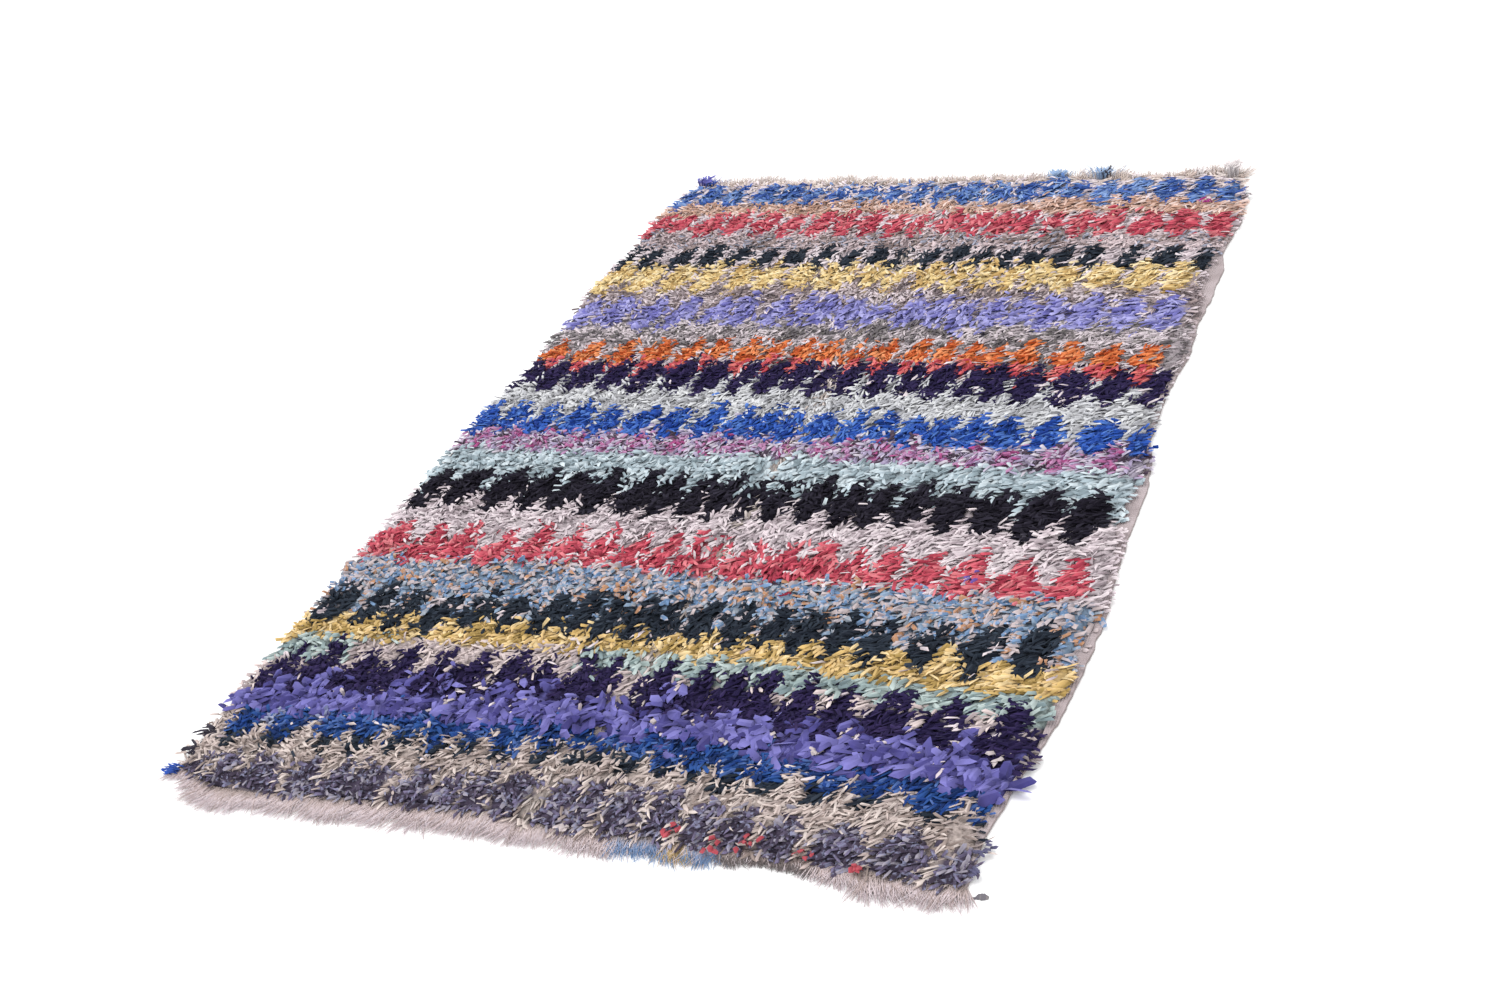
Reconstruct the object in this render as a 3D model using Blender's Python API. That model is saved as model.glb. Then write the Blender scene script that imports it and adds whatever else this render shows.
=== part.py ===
"""A boucherouite rug lying flat: rag pile knotted on a woven ground, with cut warp ends.

Metres, +Z up. X runs across the rug, Y from its near end to its far end, and the floor
that it lies on is at Z = 0.
"""
import random

import bmesh
import bpy
from mathutils import Vector, noise

# Driving sizes of the cloth
GROUND_THICK = 0.005      # woven ground where the right selvedge lies bare
PILE_RISE = 0.015         # rag pile over the ground, at its mean
LUMP_RISE = 0.012         # from the lowest to the highest clump of rags
LUMP_LENGTH = 0.085       # from one clump to the next
FINE_LUMPS = 2.3          # smaller clumps for each large one, half as high
TUFT_RISE = 0.003         # unevenness of single tufts, up and down
FOLD_DEPTH = 0.40         # share of the pile that parts along the middle fold
FOLD_REACH = 0.031        # from the fold's line to where the pile closes again
RIM_SHARE = 0.55          # share of the pile's height kept at the left rim
RIM_REACH = 0.05          # and how far in from the rim the pile is full
NEAR_SHARE = 0.25         # the same for the near end
FAR_SHARE = 0.60          # and for the far end
END_REACH = 0.045
BARE_WIDE = 0.026         # bare selvedge, from its edge to the foot of the pile
BARE_REACH = 0.060        # and to where the pile is full
GAP = 0.0003              # between the ground's end and a fringe's backing strip

# Outline of the woven ground. Columns: y, left x, right x
SIDES = (
    (-1.22, -0.757, 0.737),
    (-1.10, -0.762, 0.733),
    (-0.98, -0.766, 0.752),
    (-0.88, -0.765, 0.773),
    (-0.78, -0.763, 0.787),
    (-0.68, -0.766, 0.793),
    (-0.56, -0.768, 0.799),
    (-0.42, -0.760, 0.789),
    (-0.28, -0.768, 0.785),
    (-0.16, -0.768, 0.790),
    (-0.07, -0.770, 0.779),
    (0.02, -0.773, 0.762),
    (0.14, -0.752, 0.759),
    (0.24, -0.755, 0.765),
    (0.36, -0.760, 0.776),
    (0.48, -0.761, 0.768),
    (0.58, -0.775, 0.779),
    (0.66, -0.770, 0.779),
    (0.73, -0.763, 0.784),
    (0.81, -0.752, 0.765),
    (0.95, -0.764, 0.781),
    (1.07, -0.755, 0.776),
    (1.20, -0.730, 0.748),
)

# The two ends. Columns: x, near end y, near fringe length, far end y, far fringe length
ENDS = (
    (-0.77, -1.198, 0.024, 1.172, 0.029),
    (-0.72, -1.215, 0.034, 1.182, 0.067),
    (-0.65, -1.240, 0.040, 1.188, 0.041),
    (-0.56, -1.240, 0.040, 1.186, 0.053),
    (-0.48, -1.230, 0.046, 1.188, 0.053),
    (-0.40, -1.224, 0.060, 1.189, 0.025),
    (-0.32, -1.219, 0.058, 1.190, 0.043),
    (-0.24, -1.211, 0.053, 1.190, 0.043),
    (-0.09, -1.205, 0.046, 1.192, 0.012),
    (0.02, -1.218, 0.046, 1.192, 0.033),
    (0.13, -1.212, 0.040, 1.190, 0.037),
    (0.24, -1.210, 0.044, 1.192, 0.035),
    (0.31, -1.210, 0.041, 1.192, 0.061),
    (0.36, -1.208, 0.022, 1.193, 0.039),
    (0.40, -1.208, 0.019, 1.194, 0.071),
    (0.49, -1.211, 0.024, 1.194, 0.031),
    (0.56, -1.214, 0.042, 1.195, 0.016),
    (0.64, -1.216, 0.046, 1.196, 0.061),
    (0.72, -1.218, 0.050, 1.199, 0.082),
    (0.80, -1.216, 0.043, 1.200, 0.069),
)

# The middle fold's line. Columns: y, x
FOLD_LINE = ((-1.24, -0.03), (-0.90, 0.02), (-0.50, 0.03), (0.0, 0.03), (1.0, 0.01))

# Lengthwise cells of the slab
CELLS_LONG = 74
MEAN_END = 1.207          # the ends' mean distance from the middle
# Crosswise cells: wide ones, then the fold's own, wide ones again, then the selvedge's
CELLS_WIDE = 14
FOLD_CELLS = (-0.046, -0.022, 0.0, 0.022, 0.046)
SELVEDGE_CELLS = (-0.056, -0.027, 0.0)

# Rag locks that hang over the rim
LOCK_INSET = 0.0030       # from a lock's root to the edges of its stretch of rim
LOCK_LENGTHS = (0.012, 0.030)
LEFT_LEANS = (-0.45, 0.20)
RIGHT_LEANS = (-0.3, 0.3)
LOCK_SEED = 7
CORNER_LOCK = 0.044       # the long blue tuft at the near left corner
CORNER_LEAN = -0.30
# How a lock narrows and droops. Columns: share of its length, width kept, height kept,
# share of its height that it comes down
LOCK_STEPS = ((0.5, 0.85, 0.8, 0.25), (0.5, 0.5, 0.55, 0.75))
TIP_CLEAR = 0.0008        # from the floor to the lowest that a lock comes down
# Loose ends over the right selvedge. Columns: y, length
RIGHT_LOCKS = (
    (-1.18, 0.016), (-1.12, 0.018), (-1.00, 0.012), (-0.93, 0.022), (-0.56, 0.008),
    (-0.50, 0.010), (-0.03, 0.012), (0.06, 0.010), (0.96, 0.010), (1.10, 0.018),
)
THIN_INSET = 0.0012
# How a face tells that it is a wall, and which way it looks: parts of its normal
WALL_LEVEL = 0.02
SIDE_FACING = 0.8
END_FACING = 0.5

# Fringes
STRIP_WIDE = 0.006        # backing strip, where a fringe's roots are fused
STRIP_THICK = 0.004
NEAR_STRANDS = 3          # for each wide cell of the slab's end
FAR_STRANDS = 2
STRAND_SEED = 11
STRAND_SHARES = (0.86, 1.04)   # of the length in the table of the ends
STRAY_LEAN = 0.07
NARROW_STRANDS = 2        # for each narrow cell
NARROW_CELL = 0.035
# Lean of the near strands. Columns: x, sideways run for each metre of length
NEAR_LEAN = ((-0.75, -0.55), (-0.50, -0.45), (-0.05, -0.10), (0.10, 0.05), (0.75, 0.20))
FAR_LEAN = ((-0.75, -0.25), (0.75, 0.15))
# How a strand narrows. Columns: share of its length, share of its lean, width kept,
# height kept
STRAND_STEPS = ((0.55, 0.8, 0.9, 0.8), (0.45, 1.2, 0.45, 0.4))
# The knotted yarn tail at the right corner: run of each step, and size against its root
TAIL_RUNS = (0.010, 0.007, 0.006, 0.008, 0.006)
TAIL_SIZES = (0.6, 1.0, 0.6, 1.1, 0.3)
SHARP_FROM = 0.9          # edges are shaded sharp from this angle on, in radians

CLOTHS = {
    # Columns: colour in linear light, roughness
    "rug": ((0.30, 0.27, 0.36, 1.0), 0.95),
    "near_fringe": ((0.66, 0.58, 0.58, 1.0), 0.9),
    "far_fringe": ((0.62, 0.52, 0.45, 1.0), 0.9),
}


def read_table(table, key, column):
    """Value of a table's column at key, on straight runs between its rows."""
    if key <= table[0][0]:
        return table[0][column]
    for low, high in zip(table, table[1:]):
        if key <= high[0]:
            share = (key - low[0]) / (high[0] - low[0])
            return low[column] + share * (high[column] - low[column])
    return table[-1][column]


def smooth(value, start, end):
    """0 before start, 1 past end, and a soft step between them."""
    share = min(max((value - start) / (end - start), 0.0), 1.0)
    return share * share * (3.0 - 2.0 * share)


def cross_positions(y):
    """X of each lengthwise line of the slab at y, from the left rim to the right selvedge."""
    left, right = read_table(SIDES, y, 1), read_table(SIDES, y, 2)
    fold = read_table(FOLD_LINE, y, 1)
    fold_start, fold_end = fold + FOLD_CELLS[0], fold + FOLD_CELLS[-1]
    pile_end = right + SELVEDGE_CELLS[0]
    row = [left + (fold_start - left) * i / CELLS_WIDE for i in range(CELLS_WIDE)]
    row += [fold + offset for offset in FOLD_CELLS]
    row += [fold_end + (pile_end - fold_end) * i / CELLS_WIDE for i in range(1, CELLS_WIDE)]
    row += [right + offset for offset in SELVEDGE_CELLS]
    return row


def top_height(x, y, nominal_y, tuft):
    """Height of the pile's lumpy top, lower at the ends, the fold and the bare selvedge."""
    left, right = read_table(SIDES, nominal_y, 1), read_table(SIDES, nominal_y, 2)
    lump = Vector((x, y, 0.0)) / LUMP_LENGTH
    pile = PILE_RISE + LUMP_RISE * (noise.noise(lump) + 0.5 * noise.noise(lump * FINE_LUMPS))
    pile += tuft * TUFT_RISE
    from_fold = (x - read_table(FOLD_LINE, y, 1)) / FOLD_REACH
    pile *= 1.0 - FOLD_DEPTH * max(0.0, 1.0 - from_fold * from_fold)
    pile *= RIM_SHARE + (1.0 - RIM_SHARE) * smooth(x - left, 0.0, RIM_REACH)
    pile *= smooth(right - x, BARE_WIDE, BARE_REACH)
    near, far = read_table(ENDS, x, 1), read_table(ENDS, x, 3)
    pile *= NEAR_SHARE + (1.0 - NEAR_SHARE) * smooth(y - near, 0.0, END_REACH)
    pile *= FAR_SHARE + (1.0 - FAR_SHARE) * smooth(far - y, 0.0, END_REACH)
    return GROUND_THICK + pile


def grow_lock(mesh, face, along, length, inset):
    """Pull a lock of rags out of one face of the rim, drooping and narrowing to its tip."""
    bmesh.ops.inset_individual(mesh, faces=[face], thickness=inset)
    for reach, width, height, droop in LOCK_STEPS:
        face = bmesh.ops.extrude_discrete_faces(mesh, faces=[face])["faces"][0]
        middle = face.calc_center_median()
        low = min(corner.co.z for corner in face.verts)
        for corner in face.verts:
            offset = corner.co - middle
            corner.co.x = middle.x + along.x * length * reach
            corner.co.y = middle.y + along.y * length * reach + offset.y * width
            corner.co.z = middle.z + offset.z * height - droop * (low - TIP_CLEAR)


def add_object(name, mesh, collection):
    """Finish a bmesh as a named object with its own cloth material."""
    bmesh.ops.recalc_face_normals(mesh, faces=mesh.faces)
    data = bpy.data.meshes.new(name)
    mesh.to_mesh(data)
    mesh.free()
    data.shade_smooth()
    data.set_sharp_from_angle(angle=SHARP_FROM)
    colour, roughness = CLOTHS[name]
    material = bpy.data.materials.new(name + "_cloth")
    material.use_nodes = True
    shader = material.node_tree.nodes["Principled BSDF"]
    shader.inputs["Base Color"].default_value = colour
    shader.inputs["Roughness"].default_value = roughness
    shader.inputs["Metallic"].default_value = 0.0
    data.materials.append(material)
    thing = bpy.data.objects.new(name, data)
    collection.objects.link(thing)
    return thing


def build_rug(collection):
    """The ground with its pile: a lumpy slab, flat below, with rag locks at its rim."""
    draws = random.Random(LOCK_SEED)
    across = len(cross_positions(0.0)) - 1
    mesh = bmesh.new()
    bmesh.ops.create_grid(mesh, x_segments=across, y_segments=CELLS_LONG, size=0.5)
    for point in mesh.verts:
        column = round((point.co.x + 0.5) * across)
        row_share = round((point.co.y + 0.5) * CELLS_LONG) / CELLS_LONG
        nominal_y = (2.0 * row_share - 1.0) * MEAN_END
        x = cross_positions(nominal_y)[column]
        near, far = read_table(ENDS, x, 1), read_table(ENDS, x, 3)
        y = near + (far - near) * row_share
        point.co = (x, y, top_height(x, y, nominal_y, draws.uniform(-1.0, 1.0)))

    # Walls down to the floor, and one flat underside
    rim = [edge for edge in mesh.edges if edge.is_boundary]
    walls = bmesh.ops.extrude_edge_only(mesh, edges=rim)["geom"]
    for point in walls:
        if isinstance(point, bmesh.types.BMVert):
            point.co.z = 0.0
    bmesh.ops.holes_fill(mesh, edges=[edge for edge in mesh.edges if edge.is_boundary], sides=0)
    bmesh.ops.recalc_face_normals(mesh, faces=mesh.faces)

    # Locks along the left rim, and a few loose ends over the right selvedge
    upright = [face for face in mesh.faces if len(face.verts) == 4 and abs(face.normal.z) < WALL_LEVEL]
    left_rim = sorted((face for face in upright if face.normal.x < -SIDE_FACING),
                      key=lambda face: face.calc_center_median().y)
    right_rim = [face for face in upright if face.normal.x > SIDE_FACING]
    for index, face in enumerate(left_rim):
        lean = draws.uniform(*LEFT_LEANS)
        length = draws.uniform(*LOCK_LENGTHS)
        if index == 0:
            lean, length = CORNER_LEAN, CORNER_LOCK
        grow_lock(mesh, face, Vector((-1.0, lean, 0.0)), length, LOCK_INSET)
    for y, length in RIGHT_LOCKS:
        face = min(right_rim, key=lambda wall: abs(wall.calc_center_median().y - y))
        right_rim.remove(face)
        lean = draws.uniform(*RIGHT_LEANS)
        grow_lock(mesh, face, Vector((1.0, lean, 0.0)), length, THIN_INSET)
    return add_object("rug", mesh, collection)


def end_line(row_share, outward, strands):
    """Points along an end of the slab, split so that each strand and each space has one run."""
    nominal_y = (2.0 * row_share - 1.0) * MEAN_END
    column = 1 if outward < 0 else 3
    corners = [Vector((x, read_table(ENDS, x, column))) for x in cross_positions(nominal_y)]
    line = [corners[0]]
    for start, end in zip(corners, corners[1:]):
        runs = 2 * (strands if end.x - start.x > NARROW_CELL else NARROW_STRANDS)
        line += [start.lerp(end, (step + 1) / runs) for step in range(runs)]
    return line


def build_fringe(row_share, outward, strands, length_column, leans):
    """Cut warp ends lying level on the floor, their roots fused in a narrow strip."""
    draws = random.Random(STRAND_SEED + strands)
    line = end_line(row_share, outward, strands)
    mesh = bmesh.new()
    bmesh.ops.create_grid(mesh, x_segments=len(line) - 1, y_segments=1, size=0.5)
    for point in mesh.verts:
        base = line[round((point.co.x + 0.5) * (len(line) - 1))]
        inner = (point.co.y > 0.0) == (outward < 0)
        away = GAP if inner else GAP + STRIP_WIDE
        point.co = (base.x, base.y + outward * away, STRIP_THICK)
    raised = bmesh.ops.extrude_face_region(mesh, geom=list(mesh.faces))["geom"]
    for point in raised:
        if isinstance(point, bmesh.types.BMVert):
            point.co.z = 0.0
    bmesh.ops.recalc_face_normals(mesh, faces=mesh.faces)

    outer = sorted((face for face in mesh.faces if face.normal.y * outward > END_FACING),
                   key=lambda face: face.calc_center_median().x)
    for root in outer[::2]:
        middle = root.calc_center_median()
        length = read_table(ENDS, middle.x, length_column) - STRIP_WIDE
        length *= draws.uniform(*STRAND_SHARES)
        lean = read_table(leans, middle.x, 1) + draws.uniform(-STRAY_LEAN, STRAY_LEAN)
        tip = root
        for reach, turn, width, height in STRAND_STEPS:
            tip = bmesh.ops.extrude_discrete_faces(mesh, faces=[tip])["faces"][0]
            middle = tip.calc_center_median()
            for corner in tip.verts:
                offset = corner.co.x - middle.x
                corner.co.x = middle.x + offset * width + lean * turn * length * reach
                corner.co.y += outward * length * reach
                corner.co.z *= height
    return mesh


def grow_tail(mesh):
    """The knotted yarn tail that leaves the near fringe's strip at the right corner."""
    ends = [face for face in mesh.faces if face.normal.x > SIDE_FACING]
    end = max(ends, key=lambda face: face.calc_center_median().x)
    last_size = 1.0
    for run, size in zip(TAIL_RUNS, TAIL_SIZES):
        end = bmesh.ops.extrude_discrete_faces(mesh, faces=[end])["faces"][0]
        middle = end.calc_center_median()
        for corner in end.verts:
            corner.co.x = middle.x + run
            corner.co.y = middle.y + (corner.co.y - middle.y) * size / last_size
            corner.co.z *= size / last_size
        last_size = size
    return mesh


for thing in list(bpy.data.objects):
    bpy.data.objects.remove(thing, do_unlink=True)

rug_collection = bpy.data.collections.new("boucherouite_rug")
bpy.context.scene.collection.children.link(rug_collection)
build_rug(rug_collection)
near_mesh = build_fringe(0.0, -1, NEAR_STRANDS, 2, NEAR_LEAN)
add_object("near_fringe", grow_tail(near_mesh), rug_collection)
far_mesh = build_fringe(1.0, 1, FAR_STRANDS, 4, FAR_LEAN)
add_object("far_fringe", far_mesh, rug_collection)
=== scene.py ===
import math

import bpy
import numpy as np
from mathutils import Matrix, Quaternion, Vector, noise


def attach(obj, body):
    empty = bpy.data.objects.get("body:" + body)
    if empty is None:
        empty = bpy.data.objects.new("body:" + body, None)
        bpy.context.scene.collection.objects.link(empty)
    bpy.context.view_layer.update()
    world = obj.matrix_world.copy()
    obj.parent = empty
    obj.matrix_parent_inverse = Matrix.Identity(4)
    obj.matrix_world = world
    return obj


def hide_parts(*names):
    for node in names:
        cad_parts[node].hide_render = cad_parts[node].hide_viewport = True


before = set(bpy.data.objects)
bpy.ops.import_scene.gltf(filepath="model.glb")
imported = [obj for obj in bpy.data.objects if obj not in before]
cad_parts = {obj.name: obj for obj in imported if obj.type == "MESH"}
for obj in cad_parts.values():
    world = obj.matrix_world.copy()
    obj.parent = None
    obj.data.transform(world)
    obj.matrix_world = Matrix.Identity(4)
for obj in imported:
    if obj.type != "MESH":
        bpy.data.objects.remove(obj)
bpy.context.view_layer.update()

# The setting: a plain pale floor in soft studio light, seen from the near right corner, with
# the camera as far off, as high and as tilted as the photograph's.
CAMERA_PLACE = Vector((1.5133, -3.0058, 1.9865))
CAMERA_AIM = Vector((0.0046, -0.2663, 0.0))
CAMERA_TILT = math.radians(-13.03)
LENS_MM = 43.87
FLOOR_SIZE = 24.0
FLOOR_HEX = "fbfbfb"
SKY_STRENGTH = 1.29
KEY_FROM = Vector((-0.55, 0.35, 1.0))     # direction from the rug to the large soft light
KEY_STRENGTH = 1.15
KEY_ANGLE = math.radians(36)


def linear(code):
    """An sRGB hex colour as linear red, green, blue and alpha."""
    parts = [int(code[i:i + 2], 16) / 255.0 for i in (0, 2, 4)]
    return tuple(p / 12.92 if p <= 0.04045 else ((p + 0.055) / 1.055) ** 2.4 for p in parts) + (1.0,)


def add_node(tree, kind, values=None, links=None, **settings):
    """One shader node, with its settings, its sockets' values and what feeds its sockets."""
    new = tree.nodes.new("ShaderNode" + kind)
    for name, value in settings.items():
        setattr(new, name, value)
    for socket, value in (values or {}).items():
        new.inputs[socket].default_value = value
    for socket, source in (links or {}).items():
        tree.links.new(source, new.inputs[socket])
    return new


def new_material(name):
    """An empty material and the tree to build it in."""
    material = bpy.data.materials.new(name)
    material.use_nodes = True
    material.node_tree.nodes.clear()
    return material, material.node_tree


def matt_surface(tree, values, links=None):
    """The material's surface and its output, with the surface's values and what feeds them."""
    shader = add_node(tree, "BsdfPrincipled", values, links)
    add_node(tree, "OutputMaterial", links={"Surface": shader.outputs["BSDF"]})


scene = bpy.context.scene
scene.view_settings.view_transform = "Standard"
lens = bpy.data.cameras.new("photo_view")
lens.lens = LENS_MM
lens.sensor_width = 36.0
lens.sensor_fit = "HORIZONTAL"
camera = bpy.data.objects.new("photo_view", lens)
camera.location = CAMERA_PLACE
looking = (CAMERA_AIM - CAMERA_PLACE).to_track_quat("-Z", "Y")
camera.rotation_mode = "QUATERNION"
camera.rotation_quaternion = looking @ Quaternion((0, 0, 1), CAMERA_TILT)
scene.collection.objects.link(camera)
scene.camera = camera

world = bpy.data.worlds.new("studio")
world.use_nodes = True
world.node_tree.nodes["Background"].inputs["Color"].default_value = (1.0, 1.0, 1.0, 1.0)
world.node_tree.nodes["Background"].inputs["Strength"].default_value = SKY_STRENGTH
scene.world = world
key = bpy.data.lights.new("key", "SUN")
key.energy = KEY_STRENGTH
key.angle = KEY_ANGLE
key_light = bpy.data.objects.new("key", key)
key_light.rotation_mode = "QUATERNION"
key_light.rotation_quaternion = KEY_FROM.to_track_quat("Z", "Y")
scene.collection.objects.link(key_light)

bpy.ops.mesh.primitive_plane_add(size=FLOOR_SIZE, location=(0, 0, 0))
floor = bpy.context.object
floor.name = "floor"
paper, tree = new_material("white_studio_paper")
matt_surface(tree, {"Base Color": linear(FLOOR_HEX), "Roughness": 0.9, "Specular IOR Level": 0.1})
floor.data.materials.append(paper)

# The ground: one woven cloth of cream warp and weft that carries all the knots. It lies flat
# but for the soft middle fold, and its right selvedge shows bare, as fine ribs with a dark edge.
# Outline of the ground. Columns: y, left x, right x
SIDES = np.array((
    (-1.22, -0.757, 0.737), (-1.10, -0.762, 0.733), (-0.98, -0.766, 0.752), (-0.88, -0.765, 0.773),
    (-0.78, -0.763, 0.787), (-0.68, -0.766, 0.793), (-0.56, -0.768, 0.799), (-0.42, -0.760, 0.789),
    (-0.28, -0.768, 0.785), (-0.16, -0.768, 0.790), (-0.07, -0.770, 0.779), (0.02, -0.773, 0.762),
    (0.14, -0.752, 0.759), (0.24, -0.755, 0.765), (0.36, -0.760, 0.776), (0.48, -0.761, 0.768),
    (0.58, -0.775, 0.779), (0.66, -0.770, 0.779), (0.73, -0.763, 0.784), (0.81, -0.752, 0.765),
    (0.95, -0.764, 0.781), (1.07, -0.755, 0.776), (1.20, -0.730, 0.748),
))
# The two ends. Columns: x, near end y, near fringe length, far end y, far fringe length
ENDS = np.array((
    (-0.77, -1.198, 0.028, 1.172, 0.030), (-0.72, -1.215, 0.040, 1.182, 0.068),
    (-0.65, -1.240, 0.047, 1.188, 0.042), (-0.56, -1.240, 0.046, 1.186, 0.054),
    (-0.48, -1.230, 0.054, 1.188, 0.054), (-0.40, -1.224, 0.070, 1.189, 0.026),
    (-0.32, -1.219, 0.068, 1.190, 0.044), (-0.24, -1.211, 0.062, 1.190, 0.044),
    (-0.09, -1.205, 0.054, 1.192, 0.012), (0.02, -1.218, 0.054, 1.192, 0.034),
    (0.13, -1.212, 0.047, 1.190, 0.038), (0.24, -1.210, 0.051, 1.192, 0.036),
    (0.31, -1.210, 0.048, 1.192, 0.062), (0.36, -1.208, 0.026, 1.193, 0.040),
    (0.40, -1.208, 0.022, 1.194, 0.072), (0.49, -1.211, 0.028, 1.194, 0.032),
    (0.56, -1.214, 0.049, 1.195, 0.016), (0.64, -1.216, 0.054, 1.196, 0.062),
    (0.72, -1.218, 0.058, 1.199, 0.084), (0.80, -1.216, 0.050, 1.200, 0.070),
))
# The middle fold's line. Columns: y, x
FOLD_LINE = np.array(((-1.24, -0.03), (-0.90, 0.02), (-0.50, 0.03), (0.0, 0.03), (1.0, 0.01)))
MEAN_END = 1.207
GROUND_FLAT = (1.54, 2.41)
GROUND_THICK = 0.004
GROUND_CELLS = (16, 300)
SELVEDGE_EDGE = 0.0015    # width of the darker line along the outermost edge
# From the selvedge's edge to the first knots. Columns: y, width
BARE = np.array((
    (-1.24, 0.001), (-1.12, 0.002), (-1.09, 0.014), (-1.05, 0.014), (-1.02, 0.001), (-0.92, 0.001),
    (-0.88, 0.006), (-0.83, 0.012), (-0.80, 0.020), (-0.77, 0.012), (-0.72, 0.006), (-0.68, 0.026),
    (-0.62, 0.022), (-0.57, 0.012), (-0.53, 0.004), (-0.47, 0.007), (-0.34, 0.012), (-0.29, 0.022),
    (-0.18, 0.025), (-0.12, 0.012), (-0.08, 0.001), (0.06, 0.001), (0.12, 0.008), (0.28, 0.006),
    (0.45, 0.010), (0.52, 0.016), (0.58, 0.026), (0.64, 0.032), (0.70, 0.044), (0.75, 0.034),
    (0.80, 0.012), (0.90, 0.005), (1.20, 0.004),
))
BARE_UNEVEN = 0.003       # how much that varies besides
GROUND_RIPPLE = 0.0008
EDGE_WAVE = 0.0026        # sideways unevenness of the bare selvedge
EDGE_WAVE_FROM = (0.70, 0.74)     # it grows between these x
FOLD_RIDGE = 0.0016       # the cloth stands a little beside the fold's line
RIDGE_AWAY = 0.030        # how far beside it
# Lines of points along the selvedge, by how far in from its edge they are
SELVEDGE_LINES = (0.045, 0.030, 0.016, 0.008, SELVEDGE_EDGE, 0.0)
EDGE_DARK = 0.6           # how much darker the outermost edge is drawn, and the painted shade on the cloth under the pile
PAINTED_SHADE_UNDER_PILE = 0.85


def read_table(table, key, column):
    """Values of a table's column at key, on straight runs between its rows."""
    return np.interp(key, table[:, 0], table[:, column])


def smooth(value, start, end):
    """0 before start, 1 past end, and a soft step between them."""
    share = np.clip((value - start) / (end - start), 0.0, 1.0)
    return share * share * (3.0 - 2.0 * share)


def wander(x, y, step, seed):
    """Smooth unevenness from -1 to 1, with about one wave for each two steps."""
    knots = np.random.default_rng(seed).uniform(-1.0, 1.0, (97, 97))
    across, along = (x + 2.0) / step, (y + 2.0) / step
    i, j = np.floor(across).astype(int), np.floor(along).astype(int)
    s, t = smooth(across - i, 0.0, 1.0), smooth(along - j, 0.0, 1.0)
    i, j, i_next, j_next = i % 97, j % 97, (i + 1) % 97, (j + 1) % 97
    low = knots[i, j] * (1.0 - s) + knots[i_next, j] * s
    high = knots[i, j_next] * (1.0 - s) + knots[i_next, j_next] * s
    return low * (1.0 - t) + high * t


def joined_mesh(name, points, corners, sizes, material, smooth_faces, attributes):
    """One object from arrays: its points, each face's corners in a row, and faces' sizes."""
    data = bpy.data.meshes.new(name)
    data.vertices.add(len(points))
    data.vertices.foreach_set("co", points.astype(np.float32).ravel())
    data.loops.add(len(corners))
    data.loops.foreach_set("vertex_index", corners.astype(np.int32))
    data.polygons.add(len(sizes))
    starts = np.concatenate(([0], np.cumsum(sizes)[:-1])).astype(np.int32)
    data.polygons.foreach_set("loop_start", starts)
    data.polygons.foreach_set("use_smooth", np.full(len(sizes), smooth_faces))
    for label, values in attributes.items():
        kind = "FLOAT" if values.ndim == 1 else "FLOAT_VECTOR"
        layer = data.attributes.new(label, kind, "POINT")
        layer.data.foreach_set("value" if values.ndim == 1 else "vector",
                               values.astype(np.float32).ravel())
    data.update(calc_edges=True)
    data.materials.append(material)
    thing = bpy.data.objects.new(name, data)
    scene.collection.objects.link(thing)
    return thing


def outline_grid(across, along):
    """Points of the ground, on lines that follow its sides and its two ends."""
    u, v = np.meshgrid(across, along)
    nominal = (2.0 * v - 1.0) * MEAN_END
    left, right = read_table(SIDES, nominal, 1), read_table(SIDES, nominal, 2)
    x = left + (right - left) * u
    near, far = read_table(ENDS, x, 1), read_table(ENDS, x, 3)
    return x, near + (far - near) * v


def grain(tree, kind, values, **settings):
    """How strong a pattern is, from 0 to 1, in the object's own space."""
    place = add_node(tree, "TexCoord")
    return add_node(tree, kind, values, {"Vector": place.outputs["Object"]}, **settings).outputs["Fac"]


def grid_squares(shape):
    """The numbers of a grid's points, and the corners of the squares between them."""
    index = np.arange(shape[0] * shape[1]).reshape(shape)
    return index, np.stack((index[:-1, :-1], index[:-1, 1:], index[1:, 1:], index[1:, :-1]), axis=-1)


# Plain weave of undyed cotton and wool, beaten down hard: ribs across the rug, each 3 mm wide
# here where the real ones are 1.5 mm, so that they show. Matt, cream, greyer where it is worn.
weave, tree = new_material("plain_woven_ground")
ribs = grain(tree, "TexWave", {"Scale": 52.0, "Distortion": 1.6, "Detail Scale": 3.0},
             bands_direction="Y")
warps = grain(tree, "TexWave", {"Scale": 68.0, "Distortion": 1.2, "Detail Scale": 3.0},
              bands_direction="X")
cells = add_node(tree, "Mix", {"Factor": 0.5}, {"A": ribs, "B": warps}, data_type="FLOAT")
worn = grain(tree, "TexNoise", {"Scale": 14.0, "Detail": 5.0, "Roughness": 0.6})
cream = add_node(tree, "ValToRGB", links={"Fac": worn})
cream.color_ramp.elements[0].position = 0.3
cream.color_ramp.elements[0].color = linear("b6a8aa")
cream.color_ramp.elements[1].position = 0.72
cream.color_ramp.elements[1].color = linear("dccfd3")
ribbed = add_node(tree, "Mix", {"Factor": 0.38, "B": linear("7d6d68")},
                  {"A": cream.outputs["Color"]}, data_type="RGBA", blend_type="MULTIPLY")
shaded = ribbed
# The outermost edge is drawn darker, and the cloth under the pile gets a painted shade where it shows
# between the strips.
for label, code in (("edge", "7a6c68"), ("painted_shade_under_pile", "4a4048")):
    where = add_node(tree, "Attribute", attribute_name=label)
    shaded = add_node(tree, "Mix", {"B": linear(code)},
                      {"Factor": where.outputs["Fac"], "A": shaded.outputs["Result"]},
                      data_type="RGBA")
relief = add_node(tree, "Bump", {"Strength": 1.0, "Distance": 0.0020},
                  {"Height": cells.outputs["Result"]})
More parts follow.
